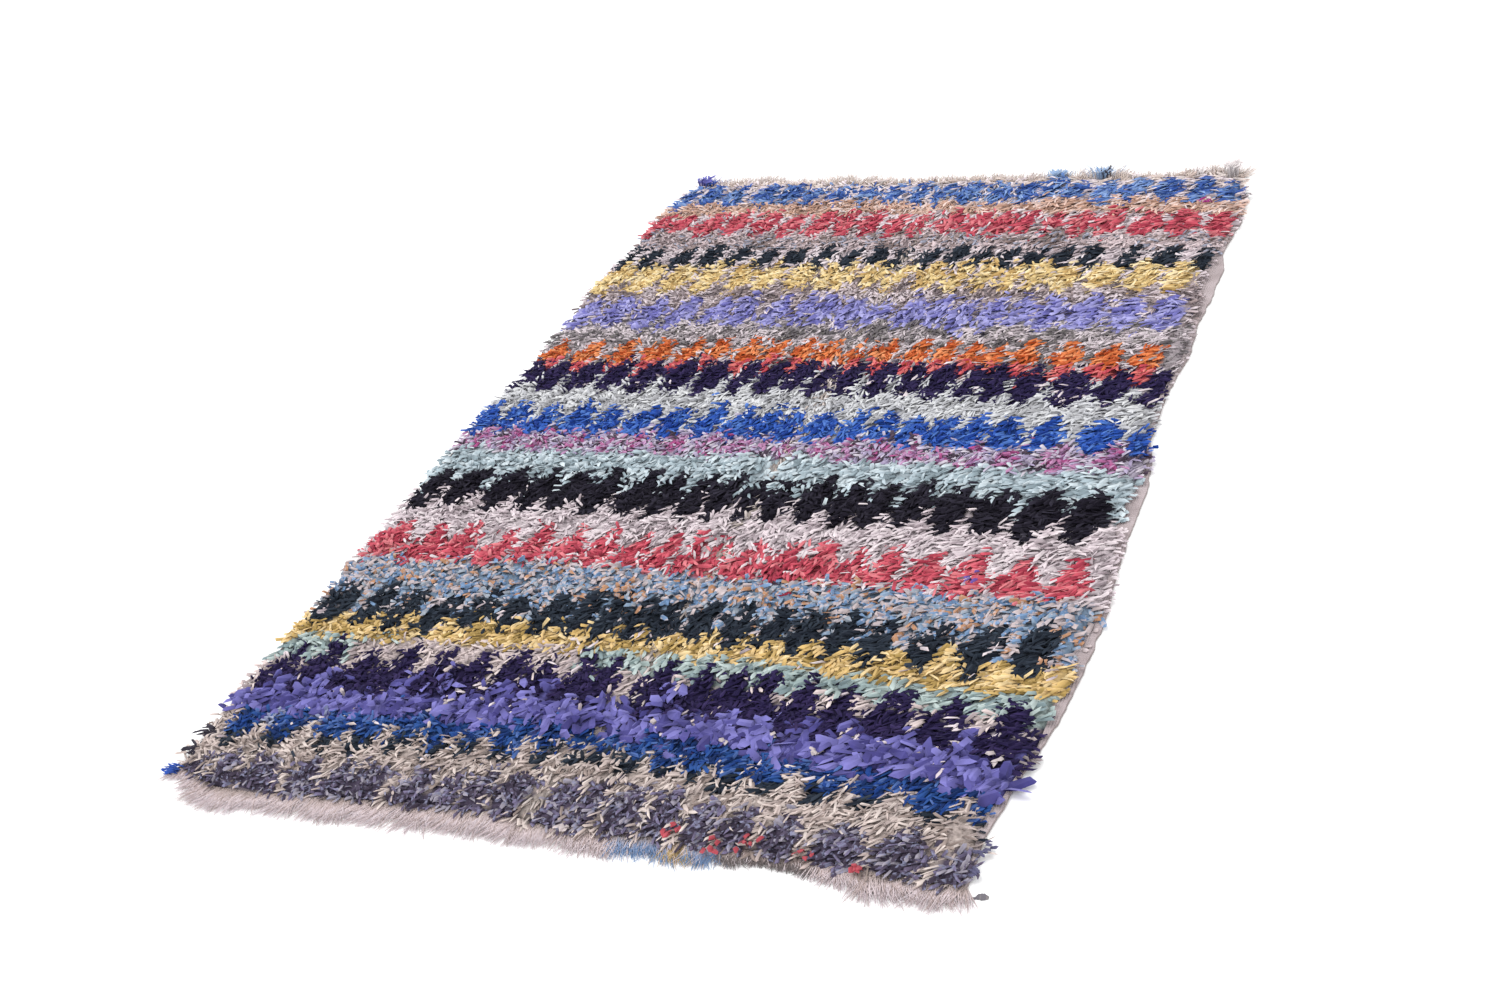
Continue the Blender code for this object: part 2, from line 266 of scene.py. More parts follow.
matt_surface(tree, {"Roughness": 0.92, "Specular IOR Level": 0.2, "Sheen Weight": 0.15},
             {"Base Color": shaded.outputs["Result"], "Normal": relief.outputs["Normal"]})

right_share = 1.0 - np.array(SELVEDGE_LINES) / GROUND_FLAT[0]
others = GROUND_CELLS[0] + 1 - len(SELVEDGE_LINES)
across = np.concatenate((np.linspace(0.0, right_share[0], others)[:-1], right_share))
x, y = outline_grid(across, np.linspace(0.0, 1.0, GROUND_CELLS[1] + 1))
wave = wander(x * 0.0, y, 0.030, 9) + 0.6 * wander(x * 0.0, y, 0.012, 10)
x += EDGE_WAVE * wave * smooth(x, *EDGE_WAVE_FROM)
from_fold = (x - read_table(FOLD_LINE, y, 1)) / RIDGE_AWAY
z = GROUND_THICK + GROUND_RIPPLE * (1.0 + wander(x, y, 0.06, 3))
z += FOLD_RIDGE * from_fold ** 2 * np.exp(1.0 - from_fold ** 2)
index, squares = grid_squares(x.shape)
from_edge = x.shape[1] - 1 - index.ravel() % x.shape[1]
ground = joined_mesh("ground_cloth", np.stack((x, y, z), axis=-1).reshape(-1, 3), squares.ravel(),
                     np.full(squares.size // 4, 4), weave, True,
                     {"edge": np.where(from_edge == 0, EDGE_DARK, 0.0),
                      "painted_shade_under_pile": np.where(from_edge >= len(SELVEDGE_LINES), PAINTED_SHADE_UNDER_PILE, 0.0)})
body = ground.modifiers.new("body", "SOLIDIFY")
body.thickness = GROUND_THICK
body.offset = -1.0
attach(ground, "root")
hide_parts("rug")

# The pile: short torn strips of cotton and jersey, each knotted round two warps so that its
# ends stand up and flop over towards the near left corner, in thick overlapping layers. Under
# them the strips' packed feet make a lumpy mat. Each cloth is one piece with its own material.
PILE_RISE = 0.015         # of the pile over the ground, and of its lumps over that
LUMP_RISE = 0.012
LUMP_LENGTH = 0.085
FINE_LUMPS = 2.3          # how much finer the small lumps are
FOLD_DEPTH = 0.40         # share of the height that the middle fold takes
FOLD_REACH = 0.031
# At the left rim, the selvedge, the near and the far end: share of it that is left, and how
# far in the pile is lower
LOWER_AT = ((0.55, 0.05), (0.45, 0.030), (0.25, 0.045), (0.60, 0.045))
MAT_SHARE = 0.72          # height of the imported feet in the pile's
MAT_CELLS = (124, 196)
FINE_PITCH = 0.0075       # from one strip to the next, for narrow strips
COARSE_PITCH = 0.0096     # and for wide ones
PILE_OVER = 0.006         # how far the last knots stand on the bare selvedge

# The figures' middle lines across the rug, band by band
ROWS_ACROSS = {
    "heather": (-0.73, -0.66, -0.58, -0.49, -0.42, -0.355, -0.265, -0.20, -0.14, -0.075,
                0.02, 0.075, 0.14, 0.21, 0.28, 0.345, 0.42, 0.52, 0.62, 0.72),
    "teeth": (-0.69, -0.60, -0.50, -0.43, -0.35, -0.28, -0.21, -0.14, -0.06, 0.0,
              0.04, 0.10, 0.165, 0.225, 0.285, 0.355, 0.45, 0.53, 0.645, 0.735),
    "leaves": (-0.68, -0.60, -0.50, -0.435, -0.36, -0.29, -0.21, -0.14, -0.095, -0.03,
               0.03, 0.09, 0.155, 0.225, 0.29, 0.365, 0.45, 0.53, 0.65, 0.75),
    "navy": (-0.72, -0.645, -0.55, -0.475, -0.39, -0.315, -0.24, -0.175, -0.10, -0.05,
             0.06, 0.14, 0.205, 0.265, 0.335, 0.41, 0.50, 0.60, 0.705, 0.775),
    "corn": (-0.755, -0.67, -0.59, -0.515, -0.43, -0.35, -0.275, -0.20, -0.14, -0.08, -0.02,
             0.035, 0.105, 0.18, 0.24, 0.31, 0.38, 0.46, 0.56, 0.655, 0.76),
    "pine": (-0.72, -0.63, -0.555, -0.475, -0.39, -0.32, -0.24, -0.17, -0.11, -0.05,
             0.01, 0.078, 0.15, 0.215, 0.28, 0.35, 0.42, 0.52, 0.61, 0.70),
    "rose": (-0.727, -0.631, -0.554, -0.462, -0.387, -0.312, -0.236, -0.161, -0.095, -0.036,
             0.014, 0.085, 0.160, 0.227, 0.294, 0.361, 0.44, 0.524, 0.616, 0.708),
    "coal": (-0.735, -0.65, -0.555, -0.475, -0.40, -0.325, -0.24, -0.17, -0.105, -0.045,
             0.02, 0.08, 0.155, 0.225, 0.285, 0.355, 0.435, 0.52, 0.61, 0.70),
    "plum": (-0.72, -0.64, -0.57, -0.48, -0.40, -0.33, -0.24, -0.16, -0.09,
             0.02, 0.10, 0.16, 0.225, 0.29, 0.36, 0.43, 0.50, 0.60, 0.70),
    "royal": (-0.755, -0.679, -0.60, -0.516, -0.441, -0.357, -0.274, -0.194, -0.119, -0.061,
              -0.006, 0.069, 0.14, 0.207, 0.269, 0.336, 0.399, 0.47, 0.557, 0.662, 0.754),
    "ink": (-0.745, -0.67, -0.59, -0.51, -0.43, -0.345, -0.265, -0.19, -0.12, -0.055,
            0.01, 0.07, 0.14, 0.21, 0.275, 0.34, 0.395, 0.47, 0.56, 0.65, 0.735),
    "flame": (-0.72, -0.63, -0.535, -0.45, -0.37, -0.30, -0.225, -0.155, -0.085, -0.025,
              0.035, 0.11, 0.185, 0.25, 0.31, 0.36, 0.43, 0.52, 0.61, 0.69),
    "even": (-0.736, -0.645, -0.55, -0.466, -0.38, -0.307, -0.224, -0.154, -0.105, -0.033,
             0.028, 0.11, 0.178, 0.243, 0.308, 0.368, 0.434, 0.52, 0.608, 0.694),
    "odd": (-0.745, -0.675, -0.59, -0.51, -0.433, -0.355, -0.275, -0.20, -0.13, -0.063,
            0.0, 0.075, 0.147, 0.21, 0.27, 0.335, 0.405, 0.475, 0.565, 0.65, 0.738),
    "last": (-0.73, -0.658, -0.587, -0.495, -0.424, -0.349, -0.274, -0.195, -0.124, -0.053,
             0.014, 0.077, 0.156, 0.227, 0.29, 0.352, 0.428, 0.499, 0.582, 0.662, 0.737),
}

# How far the bands come down at the two sides. Columns: y, at the left rim, at the right rim
BAND_DROP = np.array((
    (-1.26, 0.065, 0.020), (-1.10, 0.062, 0.030), (-1.00, 0.060, 0.038), (-0.90, 0.055, 0.035),
    (-0.80, 0.046, 0.015), (-0.68, 0.042, 0.0), (-0.58, 0.020, 0.0), (-0.50, 0.010, 0.0),
    (-0.35, 0.022, 0.0), (-0.22, 0.028, 0.0), (-0.10, 0.012, 0.0), (0.0, 0.010, 0.0),
    (0.15, 0.018, 0.0), (0.30, 0.032, 0.0), (0.55, 0.022, -0.008), (0.80, 0.0, 0.0),
))

# Plain bands, from the near end. Columns: cloth, low y, high y, and left x and right x of those
# that don't go right across
FILLS = (
    ("beige", -1.35, -1.025), ("royal", -1.012, -0.975, -0.47, 1.0),
    ("slate", -1.030, -0.985, -0.67, -0.47), ("periwinkle_jersey", -0.985, -0.942),
    ("dusty_blush", -0.942, -0.775), ("mint", -0.835, -0.760, -1.0, -0.60),
    ("mint", -0.785, -0.760, -0.61, -0.50), ("mint", -0.835, -0.770, -0.12, 1.0),
    ("yellow", -0.775, -0.705), ("sky_print", -0.705, -0.53), ("blush", -0.54, -0.285),
    ("ice", -0.285, -0.125), ("lilac", -0.135, -0.035), ("pale", -0.035, 0.20), ("marl", 0.20, 0.46),
    ("brown_marl", 0.46, 0.66), ("blush", 0.66, 0.79), ("mist", 0.79, 0.91), ("blush", 0.91, 0.985),
    ("peach", 0.985, 1.055), ("blush", 1.055, 1.150), ("tan", 1.150, 1.35),
)

# Stepped figures over them. Columns: cloth, middle lines, y of the foot, of the body's low and
# high ends and of the peak, half width of the body and of the foot and peak
FIGURES = (
    ("heather", "heather", -1.260, -1.200, -1.150, -1.108, 0.031, 0.013),
    ("pine", "teeth", -1.085, -1.060, -1.035, -1.000, 0.021, 0.008),
    ("royal", "teeth", -1.052, -1.030, -1.000, -0.975, 0.029, 0.014),
    ("periwinkle_jersey", "leaves", -0.995, -0.965, -0.922, -0.868, 0.028, 0.009),
    ("navy", "navy", -0.948, -0.905, -0.862, -0.796, 0.033, 0.009),
    ("yellow", "corn", -0.782, -0.768, -0.752, -0.702, 0.034, 0.007),
    ("pine", "pine", -0.752, -0.712, -0.668, -0.618, 0.029, 0.008),
    ("red", "rose", -0.545, -0.535, -0.503, -0.420, 0.033, 0.008),
    ("black", "coal", -0.370, -0.318, -0.258, -0.202, 0.034, 0.009),
    ("magenta", "plum", -0.135, -0.110, -0.088, -0.060, 0.015, 0.008),
    ("royal_far", "royal", -0.078, -0.040, -0.002, 0.055, 0.032, 0.007),
    ("coral", "flame", 0.198, 0.232, 0.262, 0.280, 0.022, 0.010),
    ("navy", "ink", 0.102, 0.150, 0.208, 0.258, 0.033, 0.009),
    ("orange", "flame", 0.258, 0.268, 0.294, 0.356, 0.029, 0.007),
    ("periwinkle", "even", 0.406, 0.450, 0.502, 0.560, 0.032, 0.008),
    ("straw", "even", 0.582, 0.636, 0.690, 0.730, 0.030, 0.010),
    ("pine", "odd", 0.692, 0.730, 0.770, 0.804, 0.025, 0.010),
    ("red", "odd", 0.862, 0.912, 0.950, 0.998, 0.030, 0.008),
    ("blue", "last", 1.040, 1.080, 1.125, 1.172, 0.030, 0.008),
)
STRAY_AMONG = ("pine", "navy", "periwinkle_jersey", "red", "yellow", "sky_print", "royal")
STEP = 0.004              # one step of a figure's outline
SLANT = 0.12              # a figure's sideways lean for each metre up
MEAN_ROOM = 0.073         # mean distance of the figures' middle lines
RAISED = 0.007            # how far up or down a figure stands at most
HALF_WIDE = 0.75          # half the rug's width, where the bands' drop is given
BAND_UNEVEN = 0.005

# The cloths that were torn up. rags: colours of its strips, wide and long: a strip's sizes in
# mm, fan: spread in degrees, fleck: a second colour in the print, nap: sheen if not 0.08
CLOTHS = {
    "beige": dict(rags=("9a8a84", "bcaca8", "ccbcb6", "d6c8c2"), wide=(3.5, 6.5), long=(19, 30), fan=28,
                  nap=0.12),
    "heather": dict(rags=("443c4b", "50485b", "60566c", "726a86", "98929f"), wide=(5, 9), long=(14, 26),
                    fan=52, fleck="8a8ca8", nap=0.04),
    "slate": dict(rags=("6c7298", "8288a8", "98a0bc"), wide=(5, 8), long=(18, 26), fan=32),
    "royal": dict(rags=("182f60", "204084", "2c5090", "4c68a4"), wide=(5, 8), long=(18, 28), fan=34,
                  nap=0.04),
    "royal_far": dict(rags=("1c3c8c", "2850a8", "3860b8", "5078c4"), wide=(5, 8.5), long=(18, 30),
                      fan=28, nap=0.04),
    "periwinkle_jersey": dict(rags=("464280", "565294", "6662a4", "7874b8"), wide=(13, 22),
                              long=(26, 42), fan=46),
    "navy": dict(rags=("241d40", "2b2348", "352b54"), wide=(4.5, 8.5), long=(14, 26), fan=40, nap=0.03),
    "mint": dict(rags=("84969a", "94a6a6", "a6b6b4", "b8c6c4"), wide=(7, 11), long=(21, 30), fan=30),
    "blush": dict(rags=("a89aa0", "d0c2c8", "dccfd4", "e2d6da"), wide=(4.5, 8), long=(21, 32), fan=26,
                  nap=0.12),
    "yellow": dict(rags=("a68a50", "ceae70", "dcbc84", "e8ce9c"), wide=(5.5, 9.5), long=(20, 31),
                   fan=30),
    "pine": dict(rags=("212732", "28303b", "323a46"), wide=(5, 8.5), long=(21, 32), fan=28, nap=0.03),
    "sky_print": dict(rags=("b88a6b", "5c789b", "6c8aaf", "7896bb", "889eb7", "98a2af", "b4aaaf",
                      "c0b2b3"), wide=(7, 13), long=(18, 28), fan=50, fleck="c8bcc0", nap=0.06),
    "red": dict(rags=("a03649", "bf4c5d", "cb5a69", "d87a82"), wide=(5.5, 9.5), long=(22, 34), fan=26,
                nap=0.06),
    "black": dict(rags=("1b1822", "221f2a", "2d2a36"), wide=(5, 9), long=(19, 30), fan=32, nap=0.02),
    "lilac": dict(rags=("483a4a", "9c90ae", "aca0bc", "c0b6ca", "ccc4d0", "b884ac"), wide=(5, 9),
                  long=(18, 28), fan=36),
    "magenta": dict(rags=("9c74a0", "a84c84", "b46c9c", "bc90b8", "c0b4c8"), wide=(5, 9), long=(18, 28),
                    fan=36, fleck="6a3a60"),
    "pale": dict(rags=("a8a8ac", "c2c3c8", "cecfd3", "dadbdd"), wide=(4.5, 8), long=(19, 30), fan=28,
                 nap=0.10),
    "coral": dict(rags=("b84450", "cc5c62", "dc7874"), wide=(5, 8), long=(18, 27), fan=26, nap=0.06),
    "orange": dict(rags=("b04c22", "cc6434", "dc7c48", "e89462"), wide=(5, 8), long=(18, 28), fan=26,
                   nap=0.06),
    "marl": dict(rags=("6a6468", "9a9296", "c0b4ba", "d0c4ca", "dcd0d6"), wide=(4, 7.5), long=(19, 30),
                 fan=28, fleck="74706a", nap=0.10),
    "periwinkle": dict(rags=("706eb2", "8684c0", "9694ce", "a8a6da"), wide=(7, 11), long=(21, 32),
                       fan=28, nap=0.06),
    "brown_marl": dict(rags=("7c6e72", "a89696", "c0b0b4", "cec0c4", "ded0d6"), wide=(4, 7.5),
                       long=(18, 29), fan=30, fleck="786c68", nap=0.10),
    "mist": dict(rags=("907d7a", "a0a3b6", "beabae", "ccb9bc", "dcc9cc"), wide=(4, 8), long=(20, 32),
                 fan=36, fleck="7c7a80", nap=0.10),
    "peach": dict(rags=("b48e7c", "cea692", "dcbaac", "e8d0c8"), wide=(4, 7), long=(22, 36), fan=36,
                  nap=0.10),
    "blue": dict(rags=("34549c", "4a68b0", "6080bc", "84a0d0"), wide=(4.5, 8), long=(22, 36), fan=32,
                 nap=0.04),
    "fold_yarn": dict(rags=("8e8480", "a89c96", "bcb0aa", "d0c4c0"), wide=(3, 5.5), long=(21, 32),
                      fan=16, nap=0.10),
    "ice": dict(rags=("92a2aa", "a8b8c0", "bac8d0", "cad6dc"), wide=(7, 11), long=(21, 30), fan=30),
    "straw": dict(rags=("c09e64", "dabe84", "e8ce94", "f2deb2"), wide=(5.5, 9.5), long=(20, 31), fan=30),
    "dusty_blush": dict(rags=("a89a9c", "c0b0b0", "ccbcba", "d8c8c6"), wide=(4.5, 8), long=(21, 32),
                        fan=28, nap=0.12),
    "tan": dict(rags=("ccb8b0", "e0d0c8", "ece0dc", "ecdee4"), wide=(3.5, 6.5), long=(24, 40), fan=55,
                nap=0.12),
}
CLOTH_NAMES = list(CLOTHS)


def cloth_of_knots(x, y):
    """Number of the cloth that each knot holds, by the weaver's chart of bands and figures."""
    side = np.where(x < 0.0, read_table(BAND_DROP, y, 1), read_table(BAND_DROP, y, 2))
    level = y + side * np.abs(x) / HALF_WIDE + BAND_UNEVEN * wander(x, y, 0.04, 11)
    level += BAND_UNEVEN * wander(x, y, 0.011, 12)
    chosen = np.full(x.shape, CLOTH_NAMES.index("beige"))
    for name, low, high, *sides in FILLS:
        left, right = sides or (-1.0, 1.0)
        inside = (level > low) & (level <= high) & (x > left) & (x < right)
        chosen[inside] = CLOTH_NAMES.index(name)
    for number, (name, lines, foot, low, high, peak, body, tip) in enumerate(FIGURES):
        draws = np.random.default_rng(40 + number)
        middles = np.array(ROWS_ACROSS[lines])
        room = np.gradient(middles) / MEAN_ROOM
        middle_level = (low + high) / 2
        nearest = np.abs(x[:, None] - middles[None, :]).argmin(axis=1)
        size = (room ** 0.8 * draws.uniform(0.90, 1.10, len(middles)))[nearest]
        raised = draws.uniform(-RAISED, RAISED, len(middles))[nearest]
        half = np.interp(level - raised, (foot - 1e-4, foot, low, high, peak, peak + 1e-4),
                         (0.0, tip, body, body, tip, 0.0)) * size
        half = np.round(half / STEP) * STEP
        lean = SLANT * (level - middle_level)
        ragged = 0.005 * wander(x, y, 0.025, 90 + number) + 0.004 * wander(x, y, 0.010, 140 + number)
        away = np.abs(x - middles[nearest] - lean + ragged)
        chosen[away < half] = CLOTH_NAMES.index(name)
    stray = (wander(x, y, 0.014, 61) > 0.76) & (wander(x, y, 0.006, 62) > -0.1)
    dark = np.isin(chosen, [CLOTH_NAMES.index(name) for name in STRAY_AMONG])
    chosen[stray & dark] = CLOTH_NAMES.index("blush")
    from_fold = np.abs(x - read_table(FOLD_LINE, y, 1))
    parted = (from_fold < 0.020) & (wander(x * 3.0, y, 0.022, 63) > 0.05 + from_fold * 25.0)
    chosen[parted] = CLOTH_NAMES.index("fold_yarn")
    return chosen


# Heading of the strips in degrees, by how far across the rug they are. Columns: x, heading
LIE = np.array((
    (-0.75, -192), (-0.45, -172), (-0.14, -128), (0.02, -114), (0.15, -118), (0.32, -136), (0.55, -148),
    (0.75, -156),
))
# How loosely they lie, and how long they are, against the middle. Columns: x, fan, length
HABIT = np.array((
    (-0.75, 1.8, 1.0), (-0.30, 1.4, 1.05), (0.05, 1.15, 1.10), (0.40, 0.85, 1.20), (0.75, 0.65, 1.30),
))
SWAY = (14.0, 24.0)       # degrees by which they sway slowly, and from tuft to tuft
FOLD_TURN = 20.0          # degrees by which they turn along the middle fold, and how near it
FOLD_TURN_REACH = 0.030
AGAINST = 0.16            # share of the strips that flopped the other way
OUTWARD = 0.40            # the same along the right rim near the near corner
OUTWARD_REACH = 0.022     # how wide that stretch is, and up to what y it goes
OUTWARD_TO = -0.90
TURNED_MORE = 0.25        # how many more do so along the rest of the right rim
TURNED_SHORTER = 0.6      # share of their length that those lack
TURNED_REACH = 0.030


def pile_top(x, y):
    """Height of the pile's lumpy top, lower at the ends, the fold and the bare selvedge."""
    left, right = read_table(SIDES, y, 1), read_table(SIDES, y, 2)
    lumps = np.array([noise.noise(Vector((a, b, 0.0)) / LUMP_LENGTH)
                      + 0.5 * noise.noise(Vector((a, b, 0.0)) / LUMP_LENGTH * FINE_LUMPS)
                      for a, b in zip(x, y)])
    pile = PILE_RISE + LUMP_RISE * lumps + 0.0015 * wander(x, y, 0.02, 5)
    from_fold = (x - read_table(FOLD_LINE, y, 1)) / FOLD_REACH
    pile *= 1.0 - FOLD_DEPTH * np.clip(1.0 - from_fold ** 2, 0.0, 1.0)
    near, far = read_table(ENDS, x, 1), read_table(ENDS, x, 3)
    inward = (x - left, right - x - read_table(BARE, y, 1), y - near, far - y)
    for (share, reach), away in zip(LOWER_AT, inward):
        pile *= share + (1.0 - share) * smooth(away, 0.0, reach)
    return GROUND_THICK + pile


def lie_of_pile(x, y):
    """Heading of the strips in radians: to the near left, and lengthwise along the fold."""
    habit = read_table(HABIT, x, 1)
    heading = read_table(LIE, x, 1) + SWAY[0] * wander(x, y, 0.08, 21)
    heading += SWAY[1] * habit * wander(x, y, 0.028, 22)
    from_fold = x - read_table(FOLD_LINE, y, 1)
    heading += FOLD_TURN * np.exp(-(from_fold / FOLD_TURN_REACH) ** 2)
    return np.radians(heading)


CURL = 0.5                # radians by which a strip turns along its length, at most
DROOP = 0.25              # share of its rise that it loses again, at most
ROLL = 0.36               # radians by which it leans to a side
BEND = (0.18, 0.32)       # where along it the bend is, and where it is widest
WIDEST = (0.68, 0.92)
CREASE = (0.1, 0.65)      # height of its crease, in half widths


def torn_strips(draws, root, crest, heading, length, width):
    """Points of closed strips: pointed in the mat, creased, flopped over, torn to a point.

    Each strip has its root, three corners at its bend, three at its widest and its torn tip.
    """
    count = len(length)
    curl = draws.uniform(-CURL, CURL, count)
    droop = draws.uniform(0.0, DROOP, count)
    roll = draws.normal(0.0, ROLL, count)
    climb = crest - root[:, 2]
    reach = np.sqrt(np.maximum(length ** 2 - climb ** 2, (0.6 * length) ** 2))
    turn = heading + curl * 0.5
    across = np.stack((np.sin(turn), -np.cos(turn), np.zeros(count)), axis=1)
    side = across * np.cos(roll)[:, None] + np.array((0.0, 0.0, 1.0)) * np.sin(roll)[:, None]
    up = np.array((0.0, 0.0, 1.0)) * np.cos(roll)[:, None] - across * np.sin(roll)[:, None]
    half = 0.5 * width[:, None]
    crease = half * draws.uniform(*CREASE, (count, 1)) + 0.0004
    widest = draws.uniform(*WIDEST, count)
    bend = draws.uniform(*BEND, count)
    corners = [root]
    for share, lift, grow in ((bend, 0.92, (0.75, 1.0)), (widest, 1.0 - 0.2 * droop, (0.75, 1.15))):
        turn = heading + curl * share
        ahead = np.stack((np.cos(turn), np.sin(turn), np.zeros(count)), axis=1)
        place = root + ahead * (reach * share)[:, None]
        place[:, 2] = root[:, 2] + climb * lift
        spread = side * half * draws.uniform(*grow, (count, 1))
        corners += [place - spread, place + spread,
                    place + up * crease + spread * draws.uniform(-0.6, 0.6, (count, 1))]
    turn = heading + curl
    tip = root + np.stack((np.cos(turn), np.sin(turn), np.zeros(count)), axis=1) * reach[:, None]
    tip[:, 2] = root[:, 2] + climb * (1.0 - droop)
    corners.append(tip + side * half * draws.uniform(-0.9, 0.9, (count, 1)))
    return np.stack(corners, axis=1)


STRIP_REACH = (0.0, 0.35, 0.35, 0.35, 0.8, 0.8, 0.8, 1.0)  # how far out a strip's corners are
TURNS = ((0, 1), (1, 2), (2, 0))  # the sides of a three-sided section


def strips_object(name, points, rag, material):
    """One object of many torn strips, with each strip's colour choice and reach."""
    count, corners = points.shape[:2]
    faces = [(0, 1 + a, 1 + b) for a, b in TURNS]
    faces += [(1 + a, 4 + a, 4 + b, 1 + b) for a, b in TURNS]
    faces += [(4 + a, 7, 4 + b) for a, b in TURNS]
    pattern = np.concatenate([np.array(face) for face in faces])
    loops = (np.arange(count)[:, None] * corners + pattern[None, :]).ravel()
    sizes = np.tile([len(face) for face in faces], count)
    return joined_mesh(name, points.reshape(-1, 3), loops, sizes, material, False,
                       {"rag": np.repeat(rag, corners), "reach": np.tile(STRIP_REACH, count)})


def mapped(tree, source, start, end, low, high):
    """The source, brought from start and end to low and high, and cut off there."""
    values = {"From Min": start, "From Max": end, "To Min": low, "To Max": high}
    return add_node(tree, "MapRange", values, {"Value": source}).outputs["Result"]


def dyed_by_draw(tree, dyes):
    """One of the dyes for each strip or strand, by its attribute named rag."""
    rag = add_node(tree, "Attribute", attribute_name="rag")
    colours = add_node(tree, "ValToRGB", links={"Fac": rag.outputs["Fac"]})
    ramp = colours.color_ramp
    ramp.interpolation = "CONSTANT"
    while len(ramp.elements) < len(dyes):
        ramp.elements.new(0.5)
    for number, code in enumerate(dyes):
        ramp.elements[number].position = number / len(dyes)
        ramp.elements[number].color = linear(code)
    return colours.outputs["Color"]


def rag_material(name, rags, fleck=None, nap=0.1):
    """Torn cotton: matt, with a short nap, each strip in one of its cloth's colours.

    The strips are painted darker towards their roots, as painted shade where their neighbours cover
    them, and a little lighter at their tips.
    The threads are 1.2 mm apart here, where real ones are 0.4 mm, so that they show.
    """
    material, tree = new_material(name)
    dyed = dyed_by_draw(tree, rags)
    if fleck:
        specks = grain(tree, "TexNoise", {"Scale": 130.0, "Detail": 3.0})
        flecked = add_node(tree, "Mix", {"B": linear(fleck)},
                           {"Factor": mapped(tree, specks, 0.54, 0.62, 0.0, 0.8), "A": dyed},
                           data_type="RGBA")
        dyed = flecked.outputs["Result"]
    fading = grain(tree, "TexNoise", {"Scale": 55.0, "Detail": 3.0})
    faded = mapped(tree, fading, 0.3, 0.7, 0.88, 1.10)
    # painted shade: darker towards each strip's root, a little lighter at its tip
    reach = add_node(tree, "Attribute", attribute_name="reach")
    depth = mapped(tree, reach.outputs["Fac"], 0.0, 1.0, 0.44, 1.06)
    tone = add_node(tree, "Math", links={0: faded, 1: depth}, operation="MULTIPLY")
    toned = add_node(tree, "VectorMath", links={0: dyed, "Scale": tone.outputs["Value"]},
                     operation="SCALE")
    threads = grain(tree, "TexNoise", {"Scale": 420.0, "Detail": 2.0})
    bump = add_node(tree, "Bump", {"Strength": 0.5, "Distance": 0.0008}, {"Height": threads})
    matt_surface(tree, {"Roughness": 0.9, "Specular IOR Level": 0.03, "Sheen Weight": nap,
                        "Sheen Roughness": 0.6},
                 {"Base Color": toned.outputs["Vector"], "Normal": bump.outputs["Normal"]})
    return material


def knots(pitch, draws):
    """Places of the strips' roots, in uneven staggered rows on the ground but its bare edge."""
    rows = np.arange(-MEAN_END - 0.02, MEAN_END + 0.02, pitch)
    places = np.arange(-0.80, 0.80, pitch)
    x, y = np.meshgrid(places, rows)
    x[1::2] += pitch / 2
    x, y = x.ravel(), y.ravel()
    x = x + draws.uniform(-0.4, 0.4, x.size) * pitch
    y = y + draws.uniform(-0.4, 0.4, y.size) * pitch
    bare = read_table(BARE, y, 1) + BARE_UNEVEN * wander(x * 0.0, y, 0.02, 8)
    over = np.minimum(0.6 * bare, PILE_OVER)
    held = (x > read_table(SIDES, y, 1) + 0.002) & (x < read_table(SIDES, y, 2) - bare + over)
    held &= (y > read_table(ENDS, x, 1) + 0.002) & (y < read_table(ENDS, x, 3) - 0.002)
    return x[held], y[held]


# The imported feet of the strips, as a closed lumpy mat in the cloths' own colours, darkened by painted
# shade for the crevices between the strips
share = np.linspace(0.0, 1.0, MAT_CELLS[0] + 1)
x, y = outline_grid(0.002 + 0.995 * share, 0.002 + 0.996 * np.linspace(0.0, 1.0, MAT_CELLS[1] + 1))
bare = np.maximum(read_table(BARE, y, 1), 0.003)
left, right = read_table(SIDES, y, 1), read_table(SIDES, y, 2)
x = left + (x - left) * (right - bare - left) / (right - left)
shape = x.shape
z = pile_top(x.ravel(), y.ravel()).reshape(shape)
z = GROUND_THICK + (z - GROUND_THICK) * (MAT_SHARE + 0.10 * wander(x, y, 0.015, 31))
z[0], z[-1], z[:, 0], z[:, -1] = (GROUND_THICK,) * 4
index, squares = grid_squares(shape)
rim = np.concatenate((index[0, :], index[1:, -1], index[-1, -2::-1], index[-2:0:-1, 0]))
corners = np.concatenate((squares.ravel(), rim[::-1]))
sizes = np.append(np.full(squares.size // 4, 4), len(rim))
chart = cloth_of_knots(x.ravel(), y.ravel())
dyes = np.array([linear(cloth["rags"][len(cloth["rags"]) // 2])[:3] for cloth in CLOTHS.values()])
feet, tree = new_material("packed_rag_feet")
dye = add_node(tree, "Attribute", attribute_name="dye")
clumps = grain(tree, "TexNoise", {"Scale": 160.0, "Detail": 4.0})
# painted shade: the feet are drawn at 38 to 70 percent of their cloth's colour
painted_crevice_shade = mapped(tree, clumps, 0.3, 0.7, 0.38, 0.70)
toned = add_node(tree, "VectorMath", links={0: dye.outputs["Vector"], "Scale": painted_crevice_shade},
                 operation="SCALE")
relief = add_node(tree, "Bump", {"Strength": 0.8, "Distance": 0.003}, {"Height": clumps})
matt_surface(tree, {"Roughness": 0.95, "Specular IOR Level": 0.1},
             {"Base Color": toned.outputs["Vector"], "Normal": relief.outputs["Normal"]})
mat = joined_mesh("packed_feet", np.stack((x, y, z), axis=-1).reshape(-1, 3), corners, sizes, feet,
                  True, {"dye": dyes[chart]})
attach(mat, "root")

SHOWN = 0.62              # share of a strip's length where the middle of what shows is
MISPLACED = 0.018         # how far off its place in the chart a stray knot is
MISPLACED_SHARE = 0.04    # share of the knots that are stray
ROOTS = (0.40, 0.70)      # heights of the strips' roots and crests, as shares of the pile's
CRESTS = (0.80, 1.12)
